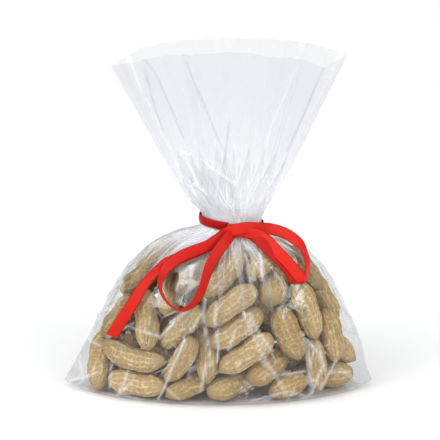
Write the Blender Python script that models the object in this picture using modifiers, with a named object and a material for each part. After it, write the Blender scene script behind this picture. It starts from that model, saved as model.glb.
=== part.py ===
"""Clear film bag of peanuts in the shell, gathered at the neck and tied with a satin bow.

Frame: metres, +Z up. The front of the bag faces -Y. The origin is on the floor, under the
middle of the flat base. Tables are in millimetres and degrees, and MM turns them into metres.
"""
import math
import random

import bmesh
import bpy
import numpy as np
from mathutils import Matrix, Quaternion, Vector

MM = 0.001
COLLECTION_NAME = "bag_of_peanuts"
CUTTER_COLLECTION = "joining_pieces"

# Film bag. Outline at each height: left edge, right edge, front depth, back depth, side point.
# The side point is 1 for an elliptical side and 2 for a side edge as sharp as a lens.
BAG_OUTLINE = {
    0.0: (-89.0, 89.0, 34.0, 32.0, 1.50),
    3.5: (-94.0, 94.0, 37.5, 35.5, 1.50),
    12.0: (-89.5, 90.5, 39.5, 37.5, 1.40),
    28.0: (-81.5, 87.0, 40.5, 38.5, 1.30),
    45.0: (-73.0, 80.5, 40.0, 38.0, 1.22),
    60.0: (-65.5, 73.5, 38.0, 36.0, 1.15),
    76.0: (-56.0, 64.5, 33.0, 31.5, 1.10),
    88.0: (-45.0, 53.0, 26.0, 25.0, 1.05),
    96.0: (-31.5, 40.0, 18.5, 18.0, 1.0),
    99.5: (-13.0, 28.5, 12.4, 12.4, 1.0),
    101.5: (-10.5, 26.0, 11.0, 11.0, 1.0),
    109.5: (-10.5, 26.0, 11.0, 11.0, 1.0),
    113.5: (-13.5, 28.5, 11.5, 11.5, 1.0),
    124.0: (-20.5, 34.0, 13.0, 13.0, 1.05),
    138.0: (-28.5, 42.0, 15.0, 14.5, 1.15),
}
FAN_START = 138.0
FAN_HEIGHT = 70.0
FAN_STEPS = (0.33, 0.67, 1.0)
FAN_MOUTH = (-64.0, 74.5, 23.0, 20.0, 1.45)
# Height of the open rim from the left tip to the right tip, front and back.
RIM_ACROSS = (-64.0, -44.0, -14.0, 5.0, 44.0, 62.0, 74.5)
RIM_FRONT = (201.0, 209.0, 213.5, 215.0, 210.5, 202.5, 208.0)
RIM_BACK = (201.0, 210.0, 213.0, 213.0, 213.0, 210.5, 208.0)
# Wall of the film. Where it is bunched under the ribbon the folds together are thicker.
WALL_HEIGHTS = (0.0, 76.0, 88.0, 96.0, 101.5, 109.5, 124.0, 138.0)
WALL_THICKNESS = (0.4, 0.4, 0.6, 1.4, 7.5, 7.5, 1.0, 0.4)
BAG_COLUMNS = 48
PLEATS = 12
PLEAT_HEIGHTS = (0.0, 90.0, 104.0, 215.0)
PLEAT_DEPTH = (0.0, 0.0, 0.10, 0.13)
NECK_HEIGHT = 105.2
NECK_CENTRE = 7.75
NECK_TILT = 0.13
NECK_TILT_REACH = 9.0
# Past this share of the half width the film is taken to be as deep as it is there.
SIDE_SHARE = 0.97

# Peanuts. Pod kinds: length, width, waist, sag of the bend, taper of the smaller lobe.
POD_KINDS = {
    "pair": (37.0, 15.6, 0.13, 1.0, 0.10),
    "bent": (38.0, 15.4, 0.12, 3.2, 0.12),
    "long": (43.0, 14.8, 0.10, 4.2, 0.08),
    "slim": (34.0, 13.4, 0.08, 1.2, 0.12),
    "wide": (34.0, 17.0, 0.08, 0.8, 0.06),
    "single": (25.0, 14.2, 0.0, 0.4, 0.10),
}
POD_SHELL = {"pair": "pale", "bent": "tan", "long": "pale", "slim": "tan", "wide": "brown",
             "single": "brown"}
SHELL_COLOURS = {"pale": (0.60, 0.47, 0.27), "tan": (0.52, 0.38, 0.19), "brown": (0.42, 0.28, 0.13)}
SHELL_ROUGHNESS = 0.85
POD_AROUND = 10
POD_RINGS = 8
PROFILE_STEPS = 40
END_ROUNDNESS = 0.38
WAIST_REACH = 0.17
# Balls along a pod's middle line, and how far past the pod's tip an end ball may reach.
CHAIN_AT = (0.08, 0.20, 0.35, 0.5, 0.65, 0.80, 0.92)
END_BALL_EXTRA = 0.8
POD_GAP = 0.75
FILM_GAP = 1.4
START_GAP = 1.2
SIDE_ROOM = 0.5
TIGHTEST = 0.5

# Peanuts against the front of the film, placed one by one: across, height, lean from upright,
# dip away from the front, roll of the bend, kind, layer behind the film (0 touches it).
FRONT_PODS = (
    (-27.5, 90.5, 69, 0, 0, "slim", 0),
    (-43.5, 86.0, 62, 0, 0, "pair", 0),
    (-51.2, 72.5, 50, 5, 180, "slim", 0),
    (-64.9, 48.5, 48, 10, 0, "slim", 0),
    (-46.7, 53.5, 12, 10, 0, "pair", 0),
    (-34.7, 64.4, 40, 50, 0, "pair", 0),
    (-20.4, 79.1, 50, 5, 0, "pair", 0),
    (-24.6, 50.1, 38, 0, 90, "pair", 0),
    (0.3, 78.5, 28, 0, 0, "bent", 0),
    (11.5, 62.5, 33, 0, 180, "pair", 0),
    (31.1, 73.5, -20, 0, 0, "wide", 0),
    (43.1, 46.5, 18, 0, 180, "wide", 0),
    (58.0, 57.0, -24, 0, 0, "pair", 0),
    (57.0, 77.0, -38, 5, 0, "slim", 0),
    (72.3, 39.1, -12, 0, 0, "slim", 0),
    (69.5, 19.3, 14, 15, 0, "slim", 0),
    (67.5, 8.5, 76, 0, 0, "bent", 0),
    (9.2, 45.4, 25, 0, 0, "pair", 0),
    (-7.4, 31.5, -19, 0, 0, "pair", 0),
    (-20.6, 31.1, 16, 0, 0, "slim", 0),
    (20.5, 35.0, 55, 0, 0, "pair", 0),
    (-52.2, 35.7, -65, 0, 180, "long", 0),
    (-77.0, 20.5, 28, 0, 180, "pair", 0),
    (-50.7, 13.6, -78, 0, 180, "pair", 0),
    (-18.3, 9.0, 76, 0, 0, "slim", 0),
    (8.5, 9.5, 62, 0, 0, "pair", 0),
    (30.8, 20.5, 30, 55, 0, "wide", 0),
    (30.0, 8.0, 40, 75, 0, "single", 0),
    (28.0, 80.0, -40, 0, 0, "single", 0),
    (17.0, 80.0, -10, 0, 0, "slim", 1),
    (-4.5, 49.0, -5, 0, 0, "pair", 1),
    (66.0, 56.0, -15, 10, 0, "pair", 1),
    (74.0, 24.0, 8, 0, 0, "pair", 1),
    (50.9, 21.0, 2, 0, 0, "pair", 1),
    (-58.0, 24.0, -75, 0, 0, "slim", 1),
    (22.0, 57.0, -30, 0, 0, "slim", 1),
)
# Peanuts against the back of the film, in rows: height, left end, right end, count.
BACK_ROWS = ((9.5, -64.0, 62.0, 5), (28.0, -62.0, 66.0, 5), (47.0, -54.0, 58.0, 5),
             (66.0, -42.0, 48.0, 4), (82.0, -22.0, 28.0, 3))
BACK_LEANS = (72, -58, 84, -34, 66, -80, 48)
BACK_KINDS = ("pair", "bent", "slim", "pair", "long", "pair", "single")
BACK_LEAN_SPREAD = 12.0
BACK_DIP_SPREAD = 8.0
LAYER_DEPTH = 15.0
SEED = 11

# Settling: pods push each other and the film apart in small steps. For the first rounds each one
# is also drawn back to where it was placed.
SETTLE_ROUNDS = 520
HOLD_ROUNDS = 260
HOLD_PULL = 0.10
POD_PUSH = 0.35
FILM_PUSH = 0.5
LONGEST_PUSH = 1.5
TWIST_SHARE = 0.6
LARGEST_TWIST = 0.12
# Levels at which a ball is tested against the film, as shares of its radius above its middle.
BALL_LEVELS = (0.0, 0.5, 0.8, 0.95)
PROBE = 0.5
# A pod still closer than the smallest gap to one of its neighbours is made smaller.
NEIGHBOUR_REACH = 48.0
SMALLEST_GAP = 0.35
SHRINK_LENGTH = 14.0

# Ribbon. Routes: across, height, distance in front of the film, turn away from the front.
RIBBON_WIDTH = 7.0
RIBBON_THICKNESS = 0.45
RING_WIDTH = 5.4
RING_CLEARANCE = 1.1
RING_STEPS = 40
RING_FROM = -84.0
RING_TURN = 348.0
KNOT_CENTRE = (8.0, -14.7, 105.0)
KNOT_SIZE = (9.0, 6.2, 6.2)
KNOT_ROUNDING = 1.6
LEFT_LOOP = (
    (7.6, 104.4, 2.6, 5), (-4.0, 98.4, 3.6, 10), (-17.7, 93.6, 3.8, 12), (-26.0, 89.2, 4.2, 16),
    (-31.8, 84.2, 5.2, 32), (-34.8, 76.8, 6.0, 60), (-33.2, 70.2, 5.4, 62), (-29.0, 65.2, 5.0, 62),
    (-22.8, 62.2, 4.6, 60), (-14.2, 66.6, 4.0, 48), (-8.8, 76.6, 3.2, 38), (-6.0, 85.2, 2.8, 34),
    (-1.6, 93.2, 4.2, 26), (3.0, 98.8, 5.2, 16), (8.0, 103.6, 4.6, 5),
)
RIGHT_LOOP = (
    (9.0, 106.0, 2.4, 8), (17.0, 106.2, 2.6, 16), (29.0, 103.0, 3.2, 24), (41.0, 99.4, 3.4, 34),
    (48.8, 93.8, 3.6, 44), (52.8, 87.6, 3.8, 56), (53.2, 82.0, 4.0, 66), (50.8, 78.4, 4.8, 68),
    (46.4, 80.6, 4.8, 50), (38.8, 89.0, 3.8, 16), (25.6, 100.6, 5.2, 8), (9.5, 104.6, 5.0, 5),
)
LEFT_TAIL = (
    (6.0, 104.0, 1.2, 5), (-4.0, 98.0, 0.8, 6), (-12.0, 94.4, 0.8, 6), (-22.0, 90.2, 0.8, 8),
    (-30.0, 86.8, 1.0, 10), (-36.0, 83.0, 1.2, 14), (-41.3, 77.6, 1.6, 20), (-46.0, 71.0, 2.2, 24),
    (-52.0, 60.6, 2.6, 24), (-58.5, 50.0, 3.0, 15), (-64.0, 40.8, 4.0, 8),
)
RIGHT_TAIL = (
    (10.0, 104.4, 1.4, 5), (20.0, 101.2, 0.9, 10), (29.5, 94.2, 0.9, 12), (37.5, 87.4, 1.0, 12),
    (43.2, 81.2, 1.4, 10), (46.8, 75.2, 1.8, 4),
)
# Each loop and tail turns its face away from a centre: across and height.
LEFT_LOOP_CENTRE = (-15.0, 84.0)
RIGHT_LOOP_CENTRE = (32.0, 89.0)
LEFT_TAIL_CENTRE = (-20.0, 60.0)
RIGHT_TAIL_CENTRE = (0.0, 60.0)
# How far the cut across the end of each tail runs from square.
LEFT_TAIL_SLANT = 0.6
RIGHT_TAIL_SLANT = -1.6
ROUTE_STEPS = 3

FILM_COLOUR = (0.90, 0.93, 0.95)
FILM_ROUGHNESS = 0.08
RIBBON_COLOUR = (0.78, 0.02, 0.015)
RIBBON_ROUGHNESS = 0.35


def clear_scene():
    for item in list(bpy.data.objects):
        bpy.data.objects.remove(item, do_unlink=True)


def plain_material(name, colour, roughness):
    material = bpy.data.materials.new(name)
    material.use_nodes = True
    shader = material.node_tree.nodes["Principled BSDF"]
    shader.inputs["Base Color"].default_value = (*colour, 1.0)
    shader.inputs["Roughness"].default_value = roughness
    shader.inputs["Metallic"].default_value = 0.0
    return material


def add_object(name, mesh, collection, material):
    item = bpy.data.objects.new(name, mesh)
    item.data.materials.append(material)
    collection.objects.link(item)
    return item


# ---- outline of the bag ----

def outline_at(height):
    """Left, right, front, back and side point of the film at one height, in millimetres."""
    heights = list(BAG_OUTLINE)
    columns = zip(*BAG_OUTLINE.values())
    return [float(np.interp(height, heights, column)) for column in columns]


def wall_at(height):
    return float(np.interp(height, WALL_HEIGHTS, WALL_THICKNESS))


def neck_tilt(across, height):
    """The ribbon pulls the neck down on the right, so the rings near it are tilted."""
    nearness = math.exp(-((height - NECK_HEIGHT) / NECK_TILT_REACH) ** 2)
    return -NECK_TILT * (across - NECK_CENTRE) * nearness


def ring_points(edges, height, pleat, inset):
    """One closed ring of the bag. `height` is a function of the distance across and the side."""
    left, right, front, back, side_point = edges
    middle = (left + right) / 2
    half = (right - left) / 2 - inset
    points = []
    for column in range(BAG_COLUMNS):
        angle = 2 * math.pi * column / BAG_COLUMNS
        fold = 1 - pleat * (0.5 - 0.5 * math.cos(PLEATS * angle))
        sine = math.sin(angle)
        depth = (back if sine > 0 else front) - inset
        across = middle + half * math.cos(angle) * fold
        along = math.copysign(abs(sine) ** side_point, sine) * depth * fold
        up = height(middle + (right - left) / 2 * math.cos(angle), sine > 0)
        points.append(Vector((across, along, up + neck_tilt(across, up))) * MM)
    return points


def rim_height(across, at_back):
    return float(np.interp(across, RIM_ACROSS, RIM_BACK if at_back else RIM_FRONT))


def bag_rings(inner):
    """Rings of the outer or the inner face of the film, from the base to the open rim."""
    rings = []
    for height in BAG_OUTLINE:
        inset = wall_at(height) if inner else 0.0
        pleat = float(np.interp(height, PLEAT_HEIGHTS, PLEAT_DEPTH))
        level = wall_at(height) if inner and height == 0.0 else height
        rings.append(ring_points(outline_at(height), lambda across, at_back: level, pleat, inset))
    for step in FAN_STEPS:
        start = outline_at(FAN_START)
        edges = [low + (high - low) * step for low, high in zip(start, FAN_MOUTH)]
        pleat = float(np.interp(FAN_START + FAN_HEIGHT * step, PLEAT_HEIGHTS, PLEAT_DEPTH))
        inset = WALL_THICKNESS[-1] if inner else 0.0

        def sloping(across, at_back):
            spread = (across - edges[0]) / (edges[1] - edges[0])
            rim_across = FAN_MOUTH[0] + (FAN_MOUTH[1] - FAN_MOUTH[0]) * spread
            return FAN_START + (rim_height(rim_across, at_back) - FAN_START) * step

        rings.append(ring_points(edges, sloping, pleat, inset))
    return rings


def make_film_bag(collection):
    """A loft between unlike sections: a lens at the base, an oval neck and an open fan."""
    shell = bmesh.new()
    outer = [[shell.verts.new(point) for point in ring] for ring in bag_rings(inner=False)]
    inner = [[shell.verts.new(point) for point in ring] for ring in bag_rings(inner=True)]
    loops = outer + inner[::-1]
    for lower, upper in zip(loops, loops[1:]):
        for column in range(BAG_COLUMNS):
            beside = (column + 1) % BAG_COLUMNS
            shell.faces.new((lower[column], lower[beside], upper[beside], upper[column]))
    shell.faces.new(outer[0][::-1])
    shell.faces.new(inner[0])
    bmesh.ops.recalc_face_normals(shell, faces=shell.faces)
    mesh = bpy.data.meshes.new("film_bag")
    shell.to_mesh(mesh)
    shell.free()
    mesh.shade_smooth()
    return add_object("film_bag", mesh, collection, plain_material("clear_film", FILM_COLOUR, FILM_ROUGHNESS))


# ---- peanut pods ----

def pod_radius(kind, place):
    """Radius of a pod at a place from 0 (round end) to 1 (tapered end), in millimetres."""
    _, width, waist, _, taper = POD_KINDS[kind]
    place = min(max(place, 0.0), 1.0)

    def profile(at):
        ends = max(math.sin(math.pi * at), 0.0) ** END_ROUNDNESS
        pinch = 1 - waist * math.exp(-((at - 0.5) / WAIST_REACH) ** 2)
        return ends * pinch * (1 - taper * (at - 0.5))

    widest = max(profile(step / PROFILE_STEPS) for step in range(PROFILE_STEPS + 1))
    return width / 2 * profile(place) / widest


def pod_offset(kind, place):
    """Sideways place of a pod's middle line, which is bent into a shallow bow."""
    return POD_KINDS[kind][3] * (0.5 - 4 * (place - 0.5) ** 2)


def make_pod_mesh(name, kind, size):
    length = POD_KINDS[kind][0]
    pod = bmesh.new()
    bmesh.ops.create_uvsphere(pod, u_segments=POD_AROUND, v_segments=POD_RINGS, radius=1.0)
    for vertex in pod.verts:
        place = (1 - vertex.co.z) / 2
        around = Vector((vertex.co.x, vertex.co.y, 0))
        if around.length > 1e-6:
            around = around.normalized() * pod_radius(kind, place)
        sideways = Vector((pod_offset(kind, place), 0, 0))
        lengthwise = Vector((0, 0, (0.5 - place) * length))
        vertex.co = (around + sideways + lengthwise) * MM * size
    bmesh.ops.recalc_face_normals(pod, faces=pod.faces)
    mesh = bpy.data.meshes.new(name)
    pod.to_mesh(mesh)
    pod.free()
    mesh.shade_smooth()
    return mesh


def pod_turn(lean, dip, roll):
    """Turn of a pod whose tip leans to the right, dips back, and whose bend is rolled."""
    lean, dip, roll = (math.radians(angle) for angle in (lean, dip, roll))
    tip = Vector((math.sin(lean) * math.cos(dip), math.sin(dip), math.cos(lean) * math.cos(dip)))
    side = Vector((math.cos(lean), 0, -math.sin(lean)))
    third = tip.cross(side)
    bend = side * math.cos(roll) + third * math.sin(roll)
    turn = Matrix((bend, tip.cross(bend), tip)).transposed()
    return turn.to_quaternion()


def pod_chain(kind):
    """Balls along a pod's middle line that fill it: their middles and radii."""
    length = POD_KINDS[kind][0]
    middles = []
    radii = []
    for place in CHAIN_AT:
        to_end = min(place, 1 - place) * length
        middles.append((pod_offset(kind, place), 0.0, (0.5 - place) * length))
        radii.append(min(pod_radius(kind, place), to_end + END_BALL_EXTRA))
    return middles, radii


def film_depth(across, height, at_back):
    """Distance from the middle plane to the film, in millimetres."""
    left, right, front, back, side_point = outline_at(height)
    share = (across - (left + right) / 2) / ((right - left) / 2)
    share = min(max(share, -SIDE_SHARE), SIDE_SHARE)
    return (back if at_back else front) * (1 - share * share) ** (side_point / 2)


def start_places():
    """Kind, place and turn of each pod before the heap settles."""
    chance = random.Random(SEED)
    pods = []
    for across, height, lean, dip, roll, kind, layer in FRONT_PODS:
        radius = POD_KINDS[kind][1] / 2
        depth = film_depth(across, height, False) - radius - START_GAP - layer * LAYER_DEPTH
        pods.append((kind, Vector((across, -depth, height)), pod_turn(lean, dip, roll)))
    for height, first, last, count in BACK_ROWS:
        for index in range(count):
            number = len(pods)
            kind = BACK_KINDS[number % len(BACK_KINDS)]
            across = first + (last - first) * index / (count - 1)
            lean = BACK_LEANS[number % len(BACK_LEANS)]
            lean += chance.uniform(-BACK_LEAN_SPREAD, BACK_LEAN_SPREAD)
            depth = film_depth(across, height, True) - POD_KINDS[kind][1] / 2 - START_GAP
            roll = chance.choice((0, 90, 180, 270))
            dip = chance.uniform(-BACK_DIP_SPREAD, BACK_DIP_SPREAD)
            pods.append((kind, Vector((across, depth, height)), pod_turn(lean, dip, roll)))
    return pods


def outside_film(across, along, level, circle):
    """Above 1 where a level circle of the given radius reaches out of the film."""
    heights = list(BAG_OUTLINE)
    left, right, front, back, side_point = (np.interp(level, heights, column)
                                            for column in zip(*BAG_OUTLINE.values()))
    room = circle + np.interp(level, WALL_HEIGHTS, WALL_THICKNESS)
    half = np.maximum((right - left) / 2 - room * (1 + SIDE_ROOM * (side_point - 1)), TIGHTEST)
    depth = np.maximum(np.where(along > 0, back, front) - room, TIGHTEST)
    share = (across - (left + right) / 2) / half
    return share ** 2 + (np.abs(along) / depth) ** (2 / side_point)


def film_push(middles, radii):
    """How far each ball must move to stay inside the film and above its base."""
    push = np.zeros_like(middles)
    for share in BALL_LEVELS:
        spot = [middles[:, 0], middles[:, 1], middles[:, 2] + share * radii]
        circle = radii * math.sqrt(1 - share * share) + FILM_GAP
        outside = outside_film(*spot, circle)
        slope = []
        for axis in range(3):
            moved = list(spot)
            moved[axis] = moved[axis] + PROBE
            slope.append((outside_film(*moved, circle) - outside) / PROBE)
        slope = np.stack(slope, axis=1)
        steep = np.sqrt((slope ** 2).sum(axis=1)) + 1e-9
        back_in = np.minimum(np.maximum(outside - 1, 0.0) / steep, LONGEST_PUSH)
        push -= slope / steep[:, None] * back_in[:, None] * FILM_PUSH
    base = radii + WALL_THICKNESS[0] + POD_GAP
    push[:, 2] += np.maximum(base - middles[:, 2], 0.0)
    return push


def settle(pods):
    """Push touching pods apart until each has its own room inside the film."""
    chains = [pod_chain(kind) for kind, _, _ in pods]
    balls = len(CHAIN_AT)
    radii = np.array([radius for chain in chains for radius in chain[1]])
    owner = np.repeat(np.arange(len(pods)), balls)
    other_pod = owner[:, None] != owner[None, :]
    wanted = radii[:, None] + radii[None, :] + POD_GAP
    places = [place.copy() for _, place, _ in pods]
    turns = [turn.copy() for _, _, turn in pods]
    for step in range(SETTLE_ROUNDS):
        arms = []
        for (chain, _), turn in zip(chains, turns):
            arms.extend(turn @ Vector(point) for point in chain)
        arms = np.array([tuple(arm) for arm in arms])
        middles = arms + np.repeat(np.array([tuple(place) for place in places]), balls, axis=0)
        apart = middles[:, None, :] - middles[None, :, :]
        distance = np.sqrt((apart ** 2).sum(axis=2)) + 1e-9
        overlap = np.where(other_pod, np.maximum(wanted - distance, 0.0), 0.0)
        push = (apart / distance[:, :, None] * overlap[:, :, None]).sum(axis=1) * POD_PUSH
        push += film_push(middles, radii)
        hold = HOLD_PULL if step < HOLD_ROUNDS else 0.0
        for index, (_, start, _) in enumerate(pods):
            rows = slice(index * balls, (index + 1) * balls)
            pushed = push[rows]
            touched = max(1, int((np.abs(pushed).sum(axis=1) > 1e-6).sum()))
            move = Vector(pushed.sum(axis=0) / touched)
            twist = np.cross(arms[rows], pushed).sum(axis=0) / (arms[rows] ** 2).sum() * TWIST_SHARE
            places[index] += move + (start - places[index]) * hold
            angle = float(np.sqrt((twist ** 2).sum()))
            if angle > 1e-6:
                small_turn = Quaternion(Vector(twist / angle), min(angle, LARGEST_TWIST))
                turns[index] = small_turn @ turns[index]
    sizes = room_left(places, turns, chains)
    return places, turns, sizes


def room_left(places, turns, chains):
    """A pod that is still pressed by its neighbours at the end is a slightly smaller one."""
    sizes = [1.0] * len(places)
    for first in range(len(places)):
        for second in range(first):
            if (places[first] - places[second]).length > NEIGHBOUR_REACH:
                continue
            excess = 0.0
            for point_a, radius_a in zip(*chains[first]):
                for point_b, radius_b in zip(*chains[second]):
                    spot_a = places[first] + turns[first] @ Vector(point_a)
                    spot_b = places[second] + turns[second] @ Vector(point_b)
                    clear = (spot_a - spot_b).length - radius_a - radius_b
                    excess = max(excess, SMALLEST_GAP - clear)
            if excess > 0:
                share = 1 - excess / SHRINK_LENGTH
                sizes[first] = min(sizes[first], share)
                sizes[second] = min(sizes[second], share)
    return sizes


def make_peanuts(collection):
    shells = {name: plain_material("peanut_shell_" + name, colour, SHELL_ROUGHNESS)
              for name, colour in SHELL_COLOURS.items()}
    pods = start_places()
    places, turns, sizes = settle(pods)
    for index, (kind, _, _) in enumerate(pods):
        name = f"peanut_{index + 1:02d}"
        mesh = make_pod_mesh(name, kind, sizes[index])
        item = add_object(name, mesh, collection, shells[POD_SHELL[kind]])
        item.rotation_mode = "QUATERNION"
        item.location = places[index] * MM
        item.rotation_quaternion = turns[index]


# ---- ribbon ----

def smooth_route(points):
    """Points of a smooth curve through the route's own points."""
    route = []
    for index in range(len(points) - 1):
        before = Vector(points[max(index - 1, 0)])
        start = Vector(points[index])
        end = Vector(points[index + 1])
        after = Vector(points[min(index + 2, len(points) - 1)])
        for step in range(ROUTE_STEPS):
            t = step / ROUTE_STEPS
            cubic = 2 * start + (end - before) * t + (2 * before - 5 * start + 4 * end - after) * t ** 2
            route.append((cubic + (3 * start - before - 3 * end + after) * t ** 3) / 2)
    route.append(Vector(points[-1]))
    return route


def over_film(across, height, clearance):
    """A point in front of the film, clear of it over the whole width of the ribbon."""
    level = height - neck_tilt(across, height)
    depths = [film_depth(across, level, False)]
    for eighth in range(8):
        turn = math.radians(45 * eighth)
        beside = across + RIBBON_WIDTH / 2 * math.cos(turn)
        depths.append(film_depth(beside, level + RIBBON_WIDTH / 2 * math.sin(turn), False))
    return Vector((across, -max(depths) - clearance, height))


def strap_across(route, outward, width):
    """Edges of a flat strap: half its width each way, square to its run and to its face."""
    edges = []
    for index, point in enumerate(route):
        before = route[max(index - 1, 0)]
        after = route[min(index + 1, len(route) - 1)]
        run = (after - before).normalized()
        side = run.cross(outward[index]).normalized()
        edges.append((point - side * width / 2, point + side * width / 2))
    return edges


def make_strap(name, edges, slant, collection, material):
    """A strap swept as one edge along its route, then given the ribbon's thickness."""
    strap = bmesh.new()
    first = [strap.verts.new(point * MM) for point in edges[0]]
    edge = strap.edges.new(first)
    for low, high in edges[1:]:
        grown = bmesh.ops.extrude_edge_only(strap, edges=[edge])["geom"]
        edge = next(item for item in grown if isinstance(item, bmesh.types.BMEdge))
        ends = [item for item in grown if isinstance(item, bmesh.types.BMVert)]
        ends.sort(key=lambda vertex: (vertex.co - first[0].co).length > (vertex.co - first[1].co).length)
        ends[0].co, ends[1].co = low * MM, high * MM
        first = ends
    if slant:
        run = (edges[-1][0] - edges[-2][0]).normalized()
        first[1].co += run * slant * MM
    mesh = bpy.data.meshes.new(name)
    strap.to_mesh(mesh)
    strap.free()
    item = add_object(name, mesh, collection, material)
    thick = item.modifiers.new("thickness", "SOLIDIFY")
    thick.thickness = RIBBON_THICKNESS * MM
    thick.offset = 0.0
    solid = bpy.data.meshes.new_from_object(item.evaluated_get(bpy.context.evaluated_depsgraph_get()))
    item.modifiers.clear()
    flat_faces = bmesh.new()
    flat_faces.from_mesh(solid)
    bmesh.ops.triangulate(flat_faces, faces=flat_faces.faces)
    flat_faces.to_mesh(solid)
    flat_faces.free()
    item.data = solid
    item.hide_render = True
    item.display_type = "WIRE"
    return item


def loop_strap(name, table, centre, slant, collection, material):
    """A loop or a tail: its face turns from the front towards the outside of the loop."""
    flat_route = smooth_route([row[:3] for row in table])
    route = [over_film(*place) for place in flat_route]
    turned = smooth_route([(turn, 0, 0) for _, _, _, turn in table])
    outward = []
    for point, turn in zip(route, turned):
        away = Vector((point.x - centre[0], 0, point.z - centre[1])).normalized()
        angle = math.radians(turn.x)
        outward.append(away * math.sin(angle) + Vector((0, -1, 0)) * math.cos(angle))
    return make_strap(name, strap_across(route, outward, RIBBON_WIDTH), slant, collection, material)


def ring_strap(collection, material):
    """The band round the neck, from one side of the knot to the other."""
    left, right, front, _, _ = outline_at(NECK_HEIGHT)
    half_width = (right - left) / 2 + RING_CLEARANCE
    half_depth = front + RING_CLEARANCE
    edges = []
    for step in range(RING_STEPS + 1):
        angle = math.radians(RING_FROM + RING_TURN * step / RING_STEPS)
        across = NECK_CENTRE + half_width * math.cos(angle)
        height = NECK_HEIGHT + neck_tilt(across, NECK_HEIGHT)
        middle = Vector((across, half_depth * math.sin(angle), height))
        half_band = Vector((0, 0, RING_WIDTH / 2))
        edges.append((middle - half_band, middle + half_band))
    return make_strap("ribbon_ring", edges, 0, collection, material)


def make_ribbon(collection, joining):
    """Knot, ring, two loops and two tails, joined into the one length of ribbon they are."""
    material = plain_material("red_satin", RIBBON_COLOUR, RIBBON_ROUGHNESS)
    straps = [
        ring_strap(joining, material),
        loop_strap("ribbon_left_loop", LEFT_LOOP, LEFT_LOOP_CENTRE, 0, joining, material),
        loop_strap("ribbon_right_loop", RIGHT_LOOP, RIGHT_LOOP_CENTRE, 0, joining, material),
        loop_strap("ribbon_left_tail", LEFT_TAIL, LEFT_TAIL_CENTRE, LEFT_TAIL_SLANT, joining, material),
        loop_strap("ribbon_right_tail", RIGHT_TAIL, RIGHT_TAIL_CENTRE, RIGHT_TAIL_SLANT, joining, material),
    ]
    knot = bmesh.new()
    bmesh.ops.create_cube(knot, size=1.0)
    bmesh.ops.scale(knot, vec=Vector(KNOT_SIZE) * MM, verts=knot.verts)
    bmesh.ops.bevel(knot, geom=knot.edges[:], offset=KNOT_ROUNDING * MM, segments=2, profile=0.5,
                    affect="EDGES", clamp_overlap=True)
    mesh = bpy.data.meshes.new("ribbon")
    knot.to_mesh(mesh)
    knot.free()
    mesh.shade_smooth()
    ribbon = add_object("ribbon", mesh, collection, material)
    ribbon.location = Vector(KNOT_CENTRE) * MM
    for strap in straps:
        join = ribbon.modifiers.new("join_" + strap.name, "BOOLEAN")
        join.operation = "UNION"
        join.object = strap


clear_scene()
parts = bpy.data.collections.new(COLLECTION_NAME)
joining_pieces = bpy.data.collections.new(CUTTER_COLLECTION)
bpy.context.scene.collection.children.link(parts)
bpy.context.scene.collection.children.link(joining_pieces)
make_film_bag(parts)
make_peanuts(parts)
make_ribbon(parts, joining_pieces)
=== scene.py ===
import math
import random

import bmesh
import bpy
import numpy as np
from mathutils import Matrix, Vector, noise


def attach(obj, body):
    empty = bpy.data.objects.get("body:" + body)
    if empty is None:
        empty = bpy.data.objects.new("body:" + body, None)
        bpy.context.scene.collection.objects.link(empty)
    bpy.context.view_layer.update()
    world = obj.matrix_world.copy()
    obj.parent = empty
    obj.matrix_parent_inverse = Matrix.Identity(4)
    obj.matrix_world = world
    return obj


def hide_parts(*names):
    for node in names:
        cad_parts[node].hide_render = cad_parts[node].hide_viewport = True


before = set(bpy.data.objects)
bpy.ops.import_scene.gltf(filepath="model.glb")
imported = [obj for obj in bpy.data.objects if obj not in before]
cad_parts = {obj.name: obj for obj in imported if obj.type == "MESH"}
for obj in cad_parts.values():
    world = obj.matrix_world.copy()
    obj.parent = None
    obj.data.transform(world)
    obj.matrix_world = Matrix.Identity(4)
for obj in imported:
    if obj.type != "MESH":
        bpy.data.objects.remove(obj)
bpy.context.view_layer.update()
scene = bpy.context.scene


# ---- Table, light and camera ----
# The bag stands on a plain white table under a wide soft light from above, with two smaller
# lights at the front corners for the glints on the film. Lengths below are in millimetres.
MM = 0.001
AIM = Vector((0.9, 0.0, 106.0)) * MM
CAMERA_DISTANCE = 1.5
CAMERA_ELEVATION = math.radians(17.5)
VIEW_WIDTH = 0.264
SENSOR_WIDTH = 36.0
TABLE_SIZE = 4.0
TABLE_DROP = 0.0004

camera_data = bpy.data.cameras.new("camera")
camera_data.sensor_width = SENSOR_WIDTH
camera_data.lens = SENSOR_WIDTH * CAMERA_DISTANCE / VIEW_WIDTH
camera_data.clip_start = 0.05
camera = bpy.data.objects.new("camera", camera_data)
back_off = Vector((0.0, -math.cos(CAMERA_ELEVATION), math.sin(CAMERA_ELEVATION)))
camera.location = AIM + back_off * CAMERA_DISTANCE
camera.rotation_euler = (math.pi / 2 - CAMERA_ELEVATION, 0.0, 0.0)
scene.collection.objects.link(camera)
scene.camera = camera
scene.view_settings.view_transform = "Standard"
scene.cycles.transparent_max_bounces = 40

table_shape = bmesh.new()
bmesh.ops.create_grid(table_shape, x_segments=1, y_segments=1, size=TABLE_SIZE)
bmesh.ops.translate(table_shape, vec=(0.0, 0.0, -TABLE_DROP), verts=table_shape.verts)
table_mesh = bpy.data.meshes.new("table")
table_shape.to_mesh(table_mesh)
table_shape.free()
table = bpy.data.objects.new("table", table_mesh)
scene.collection.objects.link(table)
table_finish = bpy.data.materials.new("white_table")
table_finish.use_nodes = True
table_shader = table_finish.node_tree.nodes["Principled BSDF"]
table_shader.inputs["Base Color"].default_value = (0.83, 0.83, 0.83, 1.0)
table_shader.inputs["Roughness"].default_value = 0.9
table_shader.inputs["Specular IOR Level"].default_value = 0.1
table.data.materials.append(table_finish)

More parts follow.
